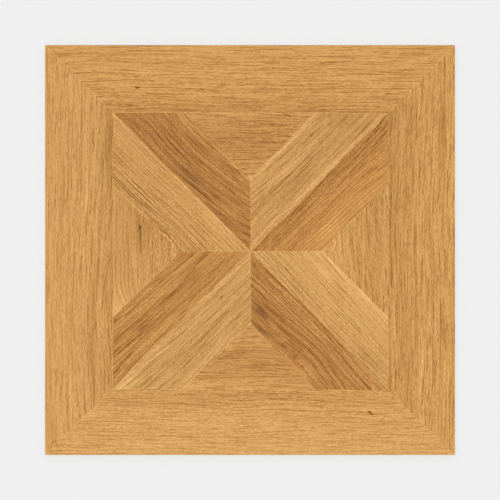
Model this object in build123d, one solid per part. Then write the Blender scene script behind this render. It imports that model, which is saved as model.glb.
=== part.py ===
"""A square, rectified porcelain floor tile that carries a printed oak parquet panel.

The tile is pressed and fired as one piece. Its four sides are ground square, its face edges
carry a fine ground arris, and its back is pressed into a grid of shallow key pockets that
the bedding adhesive fills. The panel is printed on the flat face, so its boards have no shape.

Frame: the origin is the centre of the bedding plane, which is the plane of the rib tops.
+Z points out of the printed face, and X and Y run along the sides.
"""

from build123d import *
import os

# Driving dimensions, in millimetres and degrees
TILE_SIDE = 600.0          # side to opposite side, six boards of 100
TILE_THICKNESS = 10.0      # rib tops to face
FACE_ARRIS = 0.6           # legs of the 45-degree arris along the four face edges
KEYS_PER_SIDE = 12         # key pockets in a row along a side
KEY_RIM = 15.0             # plain rim between the outermost pockets and a side
KEY_RIB = 6.0              # width of the rib that is left between two pockets
KEY_DEPTH = 0.8            # bedding plane to pocket floor
KEY_CORNER_RADIUS = 4.0    # plan corners of a pocket, at the bedding plane
KEY_DRAFT = 30.0           # lean of the pocket walls, so that the press die lets go

# Sizes that follow from the driving dimensions
KEY_PITCH = (TILE_SIDE - 2 * KEY_RIM + KEY_RIB) / KEYS_PER_SIDE
KEY_POCKET = KEY_PITCH - KEY_RIB

PARTS_FOLDER = "parts"
TILE_NODE = "porcelain_tile"


def ground_slab() -> Part:
    """The solid tile: square sides, flat face, and the arris along the face edges."""
    slab = Box(
        TILE_SIDE,
        TILE_SIDE,
        TILE_THICKNESS,
        align=(Align.CENTER, Align.CENTER, Align.MIN),
    )
    face_edges = slab.faces().sort_by(Axis.Z)[-1].edges()
    return chamfer(face_edges, FACE_ARRIS)


def key_pockets() -> list[Part]:
    """One drafted pocket for every place of the grid, opening at the bedding plane."""
    mouth = RectangleRounded(KEY_POCKET, KEY_POCKET, KEY_CORNER_RADIUS)
    pocket = extrude(mouth, amount=KEY_DEPTH, taper=KEY_DRAFT)
    places = GridLocations(KEY_PITCH, KEY_PITCH, KEYS_PER_SIDE, KEYS_PER_SIDE)
    return [place * pocket for place in places]


def porcelain_tile() -> Part:
    """The whole tile as one solid."""
    return ground_slab() - key_pockets()


if __name__ == "__main__":
    os.makedirs(PARTS_FOLDER, exist_ok=True)
    export_step(porcelain_tile(), f"{PARTS_FOLDER}/{TILE_NODE}.step")
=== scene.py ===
"""Looks of a wood-look porcelain tile: an oak parquet panel printed on a keyed porcelain slab.

The tile is one fired piece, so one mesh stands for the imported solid. Its face is laid out as the
sixteen printed boards of the panel. Each board is meshed in rows along its grain, and the pressed
grain is real relief in those rows. The print runs over the fine arris, and the sides and the
keyed back are the bare fired body.
Everything is in metres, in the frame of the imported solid: +Z out of the printed face.
"""

import logging
import math
from dataclasses import asdict, dataclass
from enum import Enum

import bpy
import numpy as np
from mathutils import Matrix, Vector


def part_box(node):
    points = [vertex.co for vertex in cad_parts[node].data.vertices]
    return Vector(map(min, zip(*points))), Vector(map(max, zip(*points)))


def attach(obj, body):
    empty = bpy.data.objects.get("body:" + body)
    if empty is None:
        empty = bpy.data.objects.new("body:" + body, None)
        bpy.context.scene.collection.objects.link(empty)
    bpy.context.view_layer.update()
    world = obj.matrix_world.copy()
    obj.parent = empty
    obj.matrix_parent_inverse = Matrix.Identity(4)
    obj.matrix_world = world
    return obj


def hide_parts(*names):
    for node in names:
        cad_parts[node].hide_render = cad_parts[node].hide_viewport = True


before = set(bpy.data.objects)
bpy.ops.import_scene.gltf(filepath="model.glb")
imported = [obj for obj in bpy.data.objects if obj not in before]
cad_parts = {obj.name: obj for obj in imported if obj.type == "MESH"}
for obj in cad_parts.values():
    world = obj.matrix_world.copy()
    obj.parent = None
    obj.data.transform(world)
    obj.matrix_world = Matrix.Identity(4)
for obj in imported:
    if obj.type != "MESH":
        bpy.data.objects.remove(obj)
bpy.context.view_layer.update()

LOG = logging.getLogger("parquet_tile")

MM = 0.001
SIDES = 4
TILE_NODE = "porcelain_tile"
TILE_PIECE = "parquet_tile"
TILE_BODY = "root"

# Names of the maps that the mesh carries
GRAIN_MAP = "grain"
LAID_MAP = "laid"
BAKE_MAP = "OFBake"
JOINT_LAYER = "joint"

# Turn of every noise's lattice, so that its cells don't line up across the grain
LATTICE_TURN = math.radians(27.0)

Colour = tuple[float, float, float]
Socket = bpy.types.NodeSocket
Value = float | tuple[float, ...] | Socket


@dataclass(frozen=True)
class Patch:
    """A stretch of surface: its points, its triangles and what is written on them.

    Attributes:
        points: Places of the points, n by 3.
        faces: Triangles by point number, m by 3, outward side anticlockwise.
        slot: Number of the material slot that the triangles take.
        grain: Place of each point along and across its board's grain, n by 2.
        laid: Place of each point along and across its board, n by 2.
        bake: Place of each point in the bake map, n by 2.
        joint: Distance from each point to the nearest joint between boards, n long. On the arris
            it is the distance down from the face, below zero.
    """

    points: np.ndarray
    faces: np.ndarray
    slot: int
    grain: np.ndarray
    laid: np.ndarray
    bake: np.ndarray
    joint: np.ndarray


def stitch(first: np.ndarray, second: np.ndarray, first_number: int, second_number: int) -> np.ndarray:
    """Join two rows of points that run the same way with a band of triangles.

    Each step along either row makes one triangle with the point that the other row has reached.
    The steps are taken in the order of their middles, so the band leans neither way.

    Args:
        first: Rising places along the first row.
        second: Rising places along the second row, which lies to the left of the first.
        first_number: Number of the first row's first point.
        second_number: Number of the second row's first point.

    Returns:
        Triangles by point number, k by 3.
    """
    middles = np.concatenate([(first[1:] + first[:-1]) / 2, (second[1:] + second[:-1]) / 2])
    on_first = np.arange(len(middles)) < len(first) - 1
    on_first = on_first[np.argsort(middles, kind="stable")]
    near = first_number + np.cumsum(on_first) - on_first
    far = second_number + np.cumsum(~on_first) - ~on_first
    ahead = np.where(on_first, near + 1, far + 1)
    return np.stack([near, ahead, far], axis=1)


def smooth_step(low: float, high: float, values: np.ndarray) -> np.ndarray:
    """Rise from 0 at low to 1 at high along the cubic 3t^2 - 2t^3."""
    share = np.clip((values - low) / (high - low), 0.0, 1.0)
    return share * share * (3.0 - 2.0 * share)


def lattice_noise(along: np.ndarray, across: np.ndarray, seed: int) -> np.ndarray:
    """Smooth noise from 0 to 1: random heights on whole numbers, blended by the smooth step.

    Args:
        along: First coordinate, in lattice steps.
        across: Second coordinate, in lattice steps.
        seed: Number that the random heights are drawn from.

    Returns:
        The noise at each point.
    """
    lattice_side = 512
    heights = np.random.default_rng(seed).random((lattice_side, lattice_side))
    column = np.floor(along).astype(int)
    row = np.floor(across).astype(int)
    right = smooth_step(0.0, 1.0, along - column)
    up = smooth_step(0.0, 1.0, across - row)

    def height(rows: np.ndarray, columns: np.ndarray) -> np.ndarray:
        """Height at a lattice point, with the lattice repeating."""
        return heights[rows % lattice_side, columns % lattice_side]

    low = height(row, column) * (1 - right) + height(row, column + 1) * right
    high = height(row + 1, column) * (1 - right) + height(row + 1, column + 1) * right
    return low * (1 - up) + high * up


class NodeSheet:
    """Puts nodes on a node tree and links them."""

    def __init__(self, tree: bpy.types.NodeTree) -> None:
        """Keep the tree that the nodes go on."""
        self.tree = tree

    def node(self, kind: str, **settings: object) -> bpy.types.Node:
        """Add a node of a kind and set its properties.

        Args:
            kind: Blender's name for the kind of node.
            settings: Properties and what they are set to.

        Returns:
            The node.
        """
        node = self.tree.nodes.new(kind)
        for name, setting in settings.items():
            setattr(node, name, setting)
        return node

    def feed(self, socket: Socket, value: Value) -> None:
        """Link a socket to another one, or set it to a plain value.

        Args:
            socket: Input that is fed.
            value: Output to link to it, or the plain value.
        """
        if isinstance(value, bpy.types.NodeSocket):
            self.tree.links.new(value, socket)
        else:
            socket.default_value = value

    def maths(self, operation: str, *values: Value, clamp: bool = False) -> Socket:
        """Work out a number from one, two or three others.

        Args:
            operation: What is done to the numbers.
            values: The numbers, in the node's order.
            clamp: Whether the result is kept between 0 and 1.

        Returns:
            The number.
        """
        node = self.node("ShaderNodeMath", operation=operation, use_clamp=clamp)
        for socket, value in zip(node.inputs, values):
            self.feed(socket, value)
        return node.outputs["Value"]

    def vector(self, operation: str, *values: Value) -> Socket:
        """Work out a vector, or for a dot product a number, from two others.

        Args:
            operation: What is done to the vectors.
            values: The vectors, in the node's order.

        Returns:
            The vector or number.
        """
        node = self.node("ShaderNodeVectorMath", operation=operation)
        for socket, value in zip(node.inputs, values):
            self.feed(socket, value)
        return node.outputs["Value" if operation == "DOT_PRODUCT" else "Vector"]

    def stretched(self, place: Value, length: Value, width: Value) -> Socket:
        """Measure a place in cells that are so long and so wide.

        Args:
            place: Where, in metres along and across the grain.
            length: Length of a cell.
            width: Width of a cell.

        Returns:
            The place in cells.
        """
        cell = self.node("ShaderNodeCombineXYZ")
        self.feed(cell.inputs["X"], length)
        self.feed(cell.inputs["Y"], width)
        cell.inputs["Z"].default_value = 1.0
        return self.vector("DIVIDE", place, cell.outputs["Vector"])

    def noise(self, place: Socket, detail: float, roughness: float = 0.5) -> Socket:
        """Flat noise that swings evenly about zero, one lump for each cell of the place.

        Args:
            place: Where the noise is read, in cells.
            detail: Number of finer noises that are added.
            roughness: Strength of each finer noise, as a share of the one before it.

        Returns:
            The noise, whose lattice is turned so that its rows don't line up across the grain.
        """
        turned = self.node("ShaderNodeVectorRotate", rotation_type="Z_AXIS")
        self.feed(turned.inputs["Vector"], place)
        turned.inputs["Angle"].default_value = LATTICE_TURN
        node = self.node("ShaderNodeTexNoise", noise_dimensions="2D")
        self.feed(node.inputs["Vector"], turned.outputs["Vector"])
        node.inputs["Scale"].default_value = 1.0
        node.inputs["Detail"].default_value = detail
        node.inputs["Roughness"].default_value = roughness
        middle = 0.5
        return self.maths("SUBTRACT", node.outputs["Fac"], middle)

    def ramp(self, value: Socket, low: float, high: float) -> Socket:
        """Rise smoothly from 0 at low to 1 at high.

        Args:
            value: What is looked at.
            low: Value up to which the ramp is 0.
            high: Value from which it is 1.

        Returns:
            The ramp.
        """
        node = self.node("ShaderNodeMapRange", interpolation_type="SMOOTHSTEP")
        self.feed(node.inputs["Value"], value)
        node.inputs["From Min"].default_value = low
        node.inputs["From Max"].default_value = high
        return node.outputs["Result"]

    def placed(self, group: bpy.types.NodeTree, **values: Value) -> bpy.types.Node:
        """Place a node group and feed its inputs by name, with _ for a space.

        Args:
            group: Node group to place.
            values: What each of its inputs is fed with.

        Returns:
            The group's node.
        """
        node = self.node("ShaderNodeGroup", node_tree=group)
        for name, value in values.items():
            self.feed(node.inputs[name.replace("_", " ")], value)
        return node


class SocketKind(Enum):
    """The kinds of socket that the node groups have."""

    NUMBER = "NodeSocketFloat"
    VECTOR = "NodeSocketVector"
    COLOUR = "NodeSocketColor"


class EffectGroup:
    """A shader node group with named inputs and outputs."""

    def __init__(
        self, name: str, inputs: dict[str, SocketKind], outputs: dict[str, SocketKind],
    ) -> None:
        """Make the group, its sockets and its two end nodes.

        Args:
            name: Name of the group.
            inputs: Name and kind of each input.
            outputs: Name and kind of each output.
        """
        self.tree = bpy.data.node_groups.new(name, "ShaderNodeTree")
        for socket, kind in inputs.items():
            self.tree.interface.new_socket(socket, in_out="INPUT", socket_type=kind.value)
        for socket, kind in outputs.items():
            self.tree.interface.new_socket(socket, in_out="OUTPUT", socket_type=kind.value)
        self.sheet = NodeSheet(self.tree)
        self.given = self.sheet.node("NodeGroupInput").outputs
        self.result = self.sheet.node("NodeGroupOutput").inputs


@dataclass(frozen=True)
class Cell:
    """The size of one lump of a stretched noise, along and across the grain."""

    length: float
    width: float


@dataclass(frozen=True)
class OakCut:
    """How strongly each layer of the grain shows on a board, as ink density.

    Attributes:
        bands: The slow change of tone across the growth rings.
        broad: The soft lines.
        hairs: The long hairlines.
        streaks: The dark streaks between the growth rings.
        lines: The fine lines.
        pores: The dark pores, which lie in threads.
        flecks: The short light and dark flecks.
        grit: The fine speckle of the print.
        rings: The even hatch of the growth rings.
        ring_pitch: Width of a growth ring.
        reach: How many times longer the lines and threads are than in short grain.
        breaks: How far the threads are broken up.
    """

    bands: float = 0.07
    broad: float = 0.05
    hairs: float = 0.25
    streaks: float = 0.0
    lines: float = 0.26
    pores: float = 0.42
    flecks: float = 0.34
    grit: float = 0.24
    rings: float = 0.0
    ring_pitch: float = 8 * MM
    reach: float = 0.75
    breaks: float = 0.6


@dataclass(frozen=True)
class OakFigure:
    """The layers that the printed grain is made of, each a noise in cells along the grain.

    Attributes:
        sway: Cells of the slow sideways wander of all lines.
        sway_by: How far it takes them.
        shiver: Cells of the quick sideways wander.
        shiver_by: How far it takes them.
        bands: Cells of the slow change of tone.
        broad: Cells of the soft lines.
        hairs: Cells of the long hairlines, which are the peaks of their noise.
        hair_start: Height of that noise at which ink starts.
        hair_full: Height at which the ink is full.
        hair_mean: Share of the surface that the hairlines cover.
        streaks: Cells of the dark streaks, which are the peaks of their noise.
        streak_start: Height of that noise at which ink starts.
        streak_full: Height at which the ink is full.
        streak_mean: Share of the surface that the streaks cover.
        lines: Cells of the fine lines.
        threads: Cells of the long threads that the pores lie in.
        breaks: Cells of the short noise that breaks the threads up into pores.
        ring_share: How much the growth rings add to the threads.
        pore_start: Height of that sum at which ink starts.
        pore_full: Height at which the ink is full.
        pore_mean: Share of the surface that the pores cover.
        flecks: Cells of the flecks.
        grit: Cells of the fine speckle of the print.
        fibres: Cells of the fibres, too fine to show from far off.
        fibre_ink: Ink density that the fibres swing by.
        pore_dip: How deep the pores lie, in the height of the surface.
        line_dip: How deep the fine lines lie.
        fibre_rise: How high the finest fibres stand.
        drift: Cells of the uneven width of the growth rings.
        drift_by: How far that shifts a ring.
    """

    sway: Cell = Cell(130 * MM, 24 * MM)
    sway_by: float = 2.5 * MM
    shiver: Cell = Cell(30 * MM, 8 * MM)
    shiver_by: float = 0.5 * MM
    bands: Cell = Cell(300 * MM, 17 * MM)
    broad: Cell = Cell(150 * MM, 6 * MM)
    hairs: Cell = Cell(300 * MM, 1.15 * MM)
    hair_start: float = 0.10
    hair_full: float = 0.26
    hair_mean: float = 0.13
    streaks: Cell = Cell(40 * MM, 3.0 * MM)
    streak_start: float = 0.04
    streak_full: float = 0.20
    streak_mean: float = 0.24
    lines: Cell = Cell(33 * MM, 1.2 * MM)
    threads: Cell = Cell(75 * MM, 1.15 * MM)
    breaks: Cell = Cell(14 * MM, 1.05 * MM)
    ring_share: float = 0.05
    pore_start: float = 0.06
    pore_full: float = 0.28
    pore_mean: float = 0.23
    flecks: Cell = Cell(5.0 * MM, 1.1 * MM)
    grit: Cell = Cell(1.6 * MM, 1.0 * MM)
    fibres: Cell = Cell(7 * MM, 0.45 * MM)
    fibre_ink: float = 0.10
    pore_dip: float = 0.6
    line_dip: float = 0.5
    fibre_rise: float = 0.3
    drift: Cell = Cell(260 * MM, 30 * MM)
    drift_by: float = 10 * MM

    def group(self) -> bpy.types.NodeTree:
        """Build the grain as a node group.

        The lines first wander sideways. Every layer then swings about zero, is multiplied by its
        strength and is added to the density. The pores are a smooth step over the sum of the
        threads, the short noise that breaks them and a sine across the growth rings.

        Returns:
            The group, with the ink density, the height of the surface and the lines as outputs.
        """
        number = SocketKind.NUMBER
        names = (
            "Bands", "Broad", "Hairs", "Streaks", "Lines", "Pores", "Flecks", "Grit",
            "Rings", "Ring Pitch", "Reach", "Breaks",
        )
        group = EffectGroup(
            "oak_figure",
            {"Grain": SocketKind.VECTOR, **{name: number for name in names}},
            {"Density": number, "Height": number, "Line": number},
        )
        sheet, given = group.sheet, group.given

        def layer(place: Socket, cell: Cell, detail: float = 0.0) -> Socket:
            """Noise in cells along the grain."""
            return sheet.noise(sheet.stretched(place, cell.length, cell.width), detail)

        straight = given["Grain"]
        wander = sheet.maths("MULTIPLY", layer(straight, self.sway), self.sway_by)
        wander = sheet.maths("MULTIPLY_ADD", layer(straight, self.shiver), self.shiver_by, wander)
        aside = sheet.node("ShaderNodeCombineXYZ")
        sheet.feed(aside.inputs["Y"], wander)
        grain = sheet.vector("ADD", straight, aside.outputs["Vector"])

        across = sheet.node("ShaderNodeSeparateXYZ")
        sheet.feed(across.inputs["Vector"], grain)
        drifted = layer(grain, self.drift)
        shifted = sheet.maths("MULTIPLY_ADD", drifted, self.drift_by, across.outputs["Y"])
        turns = sheet.maths("DIVIDE", shifted, given["Ring Pitch"])
        ring = sheet.maths("SINE", sheet.maths("MULTIPLY", turns, math.tau))

        drawn_out = sheet.stretched(grain, given["Reach"], 1.0)
        streak = sheet.ramp(layer(drawn_out, self.streaks), self.streak_start, self.streak_full)
        hair = sheet.ramp(layer(grain, self.hairs), self.hair_start, self.hair_full)
        line = layer(drawn_out, self.lines, detail=1.0)
        threads = layer(drawn_out, self.threads)
        broken = sheet.maths("MULTIPLY_ADD", layer(drawn_out, self.breaks), given["Breaks"], threads)
        ringed = sheet.maths("MULTIPLY_ADD", ring, self.ring_share, broken)
        pore = sheet.ramp(ringed, self.pore_start, self.pore_full)
        fibre = layer(grain, self.fibres, detail=1.0)
        swings = {
            "Bands": layer(grain, self.bands),
            "Broad": layer(grain, self.broad),
            "Hairs": sheet.maths("SUBTRACT", hair, self.hair_mean),
            "Streaks": sheet.maths("SUBTRACT", streak, self.streak_mean),
            "Lines": line,
            "Pores": sheet.maths("SUBTRACT", pore, self.pore_mean),
            "Flecks": layer(grain, self.flecks),
            "Grit": layer(grain, self.grit),
            "Rings": ring,
        }
        density = sheet.maths("MULTIPLY", fibre, self.fibre_ink)
        for name, swing in swings.items():
            density = sheet.maths("MULTIPLY_ADD", swing, given[name], density)
        sheet.feed(group.result["Density"], density)
        dip = sheet.maths("MULTIPLY", line, -self.line_dip)
        height = sheet.maths("MULTIPLY_ADD", pore, -self.pore_dip, dip)
        sheet.feed(group.result["Height"], sheet.maths("MULTIPLY_ADD", fibre, self.fibre_rise, height))
        sheet.feed(group.result["Line"], line)
        return group.tree


@dataclass(frozen=True)
class OakEffects:
    """The node groups that every printed board's material is made from.

    Attributes:
        figure: The grain of the oak, as ink density and height.
        mark: A soft oval spot that lies along the grain.
        ink: A colour seen through a layer of brown ink.
    """

    figure: bpy.types.NodeTree
    mark: bpy.types.NodeTree
    ink: bpy.types.NodeTree

    @classmethod
    def build(cls) -> "OakEffects":
        """Build the three groups once, for all boards."""
        return cls(OakFigure().group(), cls.mark_group(), cls.ink_group())

    @staticmethod
    def mark_group() -> bpy.types.NodeTree:
        """Build the oval spot: exp(-(a/length)^2 - (b/width)^2) at a along and b across the grain.

        Returns:
            The node group.
        """
        vector = SocketKind.VECTOR
        group = EffectGroup(
            "oak_mark",
            {"Grain": vector, "Place": vector, "Size": vector},
            {"Mask": SocketKind.NUMBER},
        )
        sheet, given = group.sheet, group.given
        offset = sheet.vector("SUBTRACT", given["Grain"], given["Place"])
        share = sheet.vector("DIVIDE", offset, given["Size"])
        fall = sheet.maths("MULTIPLY", sheet.vector("DOT_PRODUCT", share, share), -1.0)
        sheet.feed(group.result["Mask"], sheet.maths("EXPONENT", fall))
        return group.tree

    @staticmethod
    def ink_group() -> bpy.types.NodeTree:
        """Build the ink: each channel times exp(-k x density - g x stain).

        The brown ink takes more green and blue than red, and the grey stain takes all about alike.

        Returns:
            The group, with the inked colour as its output.
        """
        brown = {"X": 1.0, "Y": 1.33, "Z": 2.1}
        grey = {"X": 1.0, "Y": 1.08, "Z": 1.1}
        number = SocketKind.NUMBER
        group = EffectGroup(
            "brown_ink",
            {"Colour": SocketKind.COLOUR, "Density": number, "Stain": number},
            {"Colour": SocketKind.COLOUR},
        )
        sheet, given = group.sheet, group.given
        passed = sheet.node("ShaderNodeCombineXYZ")
        for channel, absorption in brown.items():
            stain = sheet.maths("MULTIPLY", given["Stain"], -grey[channel])
            depth = sheet.maths("MULTIPLY_ADD", given["Density"], -absorption, stain)
            sheet.feed(passed.inputs[channel], sheet.maths("EXPONENT", depth))
        tinted = sheet.vector("MULTIPLY", given["Colour"], passed.outputs["Vector"])
        sheet.feed(group.result["Colour"], tinted)
        return group.tree


@dataclass(frozen=True)
class Mark:
    """A soft oval darkening, or with a density below zero a lightening, that lies along the grain.

    Attributes:
        along: Place from the middle of the board's long edge, along that edge.
        across: Place from the long edge, across the board.
        length: Half length at which the mark has fallen to a third.
        width: Half width at which it has fallen to a third.
        density: Ink density in its middle.
        straight: Whether it lies along the board's edge, not along its grain.
        grey: Whether it is a grey stain, not brown like the grain.
    """

    along: float
    across: float
    length: float
    width: float
    density: float
    straight: bool = False
    grey: bool = False


def mark_at(
    along: float,
    across: float,
    length: float,
    width: float,
    density: float,
    straight: bool = False,
    grey: bool = False,
) -> Mark:
    """Describe a mark by its measures in millimetres.

    Args:
        along: Place from the middle of the board's long edge, along that edge.
        across: Place from the long edge, across the board.
        length: Half length.
        width: Half width.
        density: Ink density in its middle.
        straight: Whether it lies along the board's edge.
        grey: Whether it is a grey stain.

    Returns:
        The mark, in metres.
    """
    return Mark(along * MM, across * MM, length * MM, width * MM, density, straight, grey)


@dataclass(frozen=True)
class Swell:
    """A place where the grain lines swerve round something and come back.

    Attributes:
        along: Place from the middle of the board's long edge, along that edge.
        across: Place from the long edge, across the board.
        length: Half length at which the swerve has fallen to a third.
        width: Half width at which it has fallen to a third.
        rise: How far the lines are pushed away from the long edge in the middle.
    """

    along: float
    across: float
    length: float
    width: float
    rise: float


@dataclass(frozen=True)
class Flow:
    """The run of the grain lines over a board.

    A grain line is v = w + u (tan(lean) + fan v) + bend max(u - bend_at, 0)^2
    plus wave sin(2 pi u / wave_length)
    plus rise exp(-((u - along) / length)^2 - ((v - across) / width)^2) for each swell. Here u runs
    along the board's long edge from its middle, v runs across it, and w names the line.

    Attributes:
        lean: Angle of the lines away from the long edge, in degrees.
        fan: Change of their slope from the long edge across the board, per metre.
        bend: Curve of the lines past bend_at, per metre.
        bend_at: Place along the board where the curve starts.
        swells: Places where the lines swerve.
        wave: Half height of the slow wave in the lines.
        wave_length: Length of that wave.
    """

    lean: float = 0.0
    fan: float = 0.0
    bend: float = 0.0
    bend_at: float = 0.0
    swells: tuple[Swell, ...] = ()
    wave: float = 0.5 * MM
    wave_length: float = 130 * MM

    def line(self, along: np.ndarray, across: np.ndarray) -> np.ndarray:
        """Give the name w of the grain line through each point.

        Args:
            along: Places of the points along the board.
            across: Places across it.

        Returns:
            The name w for each point, in metres.
        """
        line = across - along * (math.tan(math.radians(self.lean)) + self.fan * across)
        line = line - self.bend * np.maximum(along - self.bend_at, 0.0) ** 2
        line = line - self.wave * np.sin(math.tau * along / self.wave_length)
        for swell in self.swells:
            ahead = (along - swell.along) / swell.length
            beside = (across - swell.across) / swell.width
            line = line - swell.rise * np.exp(-ahead**2 - beside**2)
        return line


@dataclass(frozen=True)
class OakFinish:
    """The oak that a board is printed as.

    Attributes:
        tone: Colour of the board, linear.
        cut: How the layers of its grain show.
        slope: Rise in density from the long edge to the short edge.
        contrast: How much stronger the grain is printed than its cut says.
        gain: How much the contrast grows from the long edge to the short edge, as a share.
    """

    tone: Colour
    cut: OakCut
    slope: float = 0.0
    contrast: float = 1.0
    gain: float = 0.0


class BoardShape(Enum):
    """The three outlines that the panel's boards have."""

    FRAME = "frame"
    WEDGE = "wedge"
    ARM = "arm"


@dataclass(frozen=True)
class Board:
    """One printed board.

    Attributes:
        name: What the board is called.
        shape: Which of the three outlines it has.
        quarter: Direction from the panel's centre to the middle of its long edge, in degrees.
        heading: Direction that its long edge runs in, with the board on the left, in degrees.
        finish: The oak it is printed as.
        flow: The run of its grain.
        marks: The streaks, stains and specks on it.
    """

    name: str
    shape: BoardShape
    quarter: float
    heading: float
    finish: OakFinish
    flow: Flow = Flow()
    marks: tuple[Mark, ...] = ()


# Directions from the panel's centre, in degrees
TOP, LEFT, BOTTOM, RIGHT = 90.0, 180.0, 270.0, 0.0
TOP_RIGHT, TOP_LEFT, BOTTOM_LEFT, BOTTOM_RIGHT = 45.0, 135.0, 225.0, 315.0
EIGHTH_TURN, QUARTER_TURN, HALF_TURN, FULL_TURN = 45.0, 90.0, 180.0, 360.0


def frame_board(name: str, quarter: float, finish: OakFinish, flow: Flow, *marks: Mark) -> Board:
    """Describe a mitred board of the frame."""
    heading = quarter + QUARTER_TURN
    return Board(f"frame_{name}", BoardShape.FRAME, quarter, heading, finish, flow, marks)


def wedge_board(name: str, quarter: float, finish: OakFinish, flow: Flow, *marks: Mark) -> Board:
    """Describe a triangular board between two arms of the cross."""
    heading = quarter + QUARTER_TURN
    return Board(f"wedge_{name}", BoardShape.WEDGE, quarter, heading, finish, flow, marks)


def left_arm(name: str, quarter: float, finish: OakFinish, flow: Flow, *marks: Mark) -> Board:
    """Describe the board on the left of a diagonal, seen from the centre outwards."""
    return Board(f"arm_{name}", BoardShape.ARM, quarter, quarter, finish, flow, marks)


def right_arm(name: str, quarter: float, finish: OakFinish, flow: Flow, *marks: Mark) -> Board:
    """Describe the board on the right of a diagonal, seen from the centre outwards."""
    return Board(f"arm_{name}", BoardShape.ARM, quarter, quarter + HALF_TURN, finish, flow, marks)


# The ways the oak is cut
PLAIN_SAWN = OakCut()
FINE_GRAINED = OakCut(hairs=0.22, flecks=0.44, grit=0.36, reach=0.6)
SHORT_GRAINED = OakCut(hairs=0.06, lines=0.34, pores=0.44, flecks=0.36, reach=0.85)
QUIET = OakCut(
    bands=0.25, hairs=0.06, lines=0.30, pores=0.34, flecks=0.46, grit=0.26, reach=0.8, breaks=0.7,
)
STRAIGHT = OakCut(
    bands=0.06, hairs=0.26, lines=0.28, pores=0.46, flecks=0.44, grit=0.56,
    rings=0.06, ring_pitch=4.2 * MM, reach=1.0, breaks=0.5,
)
SOFT_GRAINED = OakCut(
    bands=0.12, broad=0.14, hairs=0.26, lines=0.30, pores=0.52, flecks=0.46, grit=0.58,
    reach=1.1, breaks=0.5,
)
STREAKY = OakCut(
    bands=0.12, broad=0.15, hairs=0.32, streaks=0.18, lines=0.38, pores=0.58, flecks=0.50, grit=0.64,
    reach=1.3, breaks=0.5,
)


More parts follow.
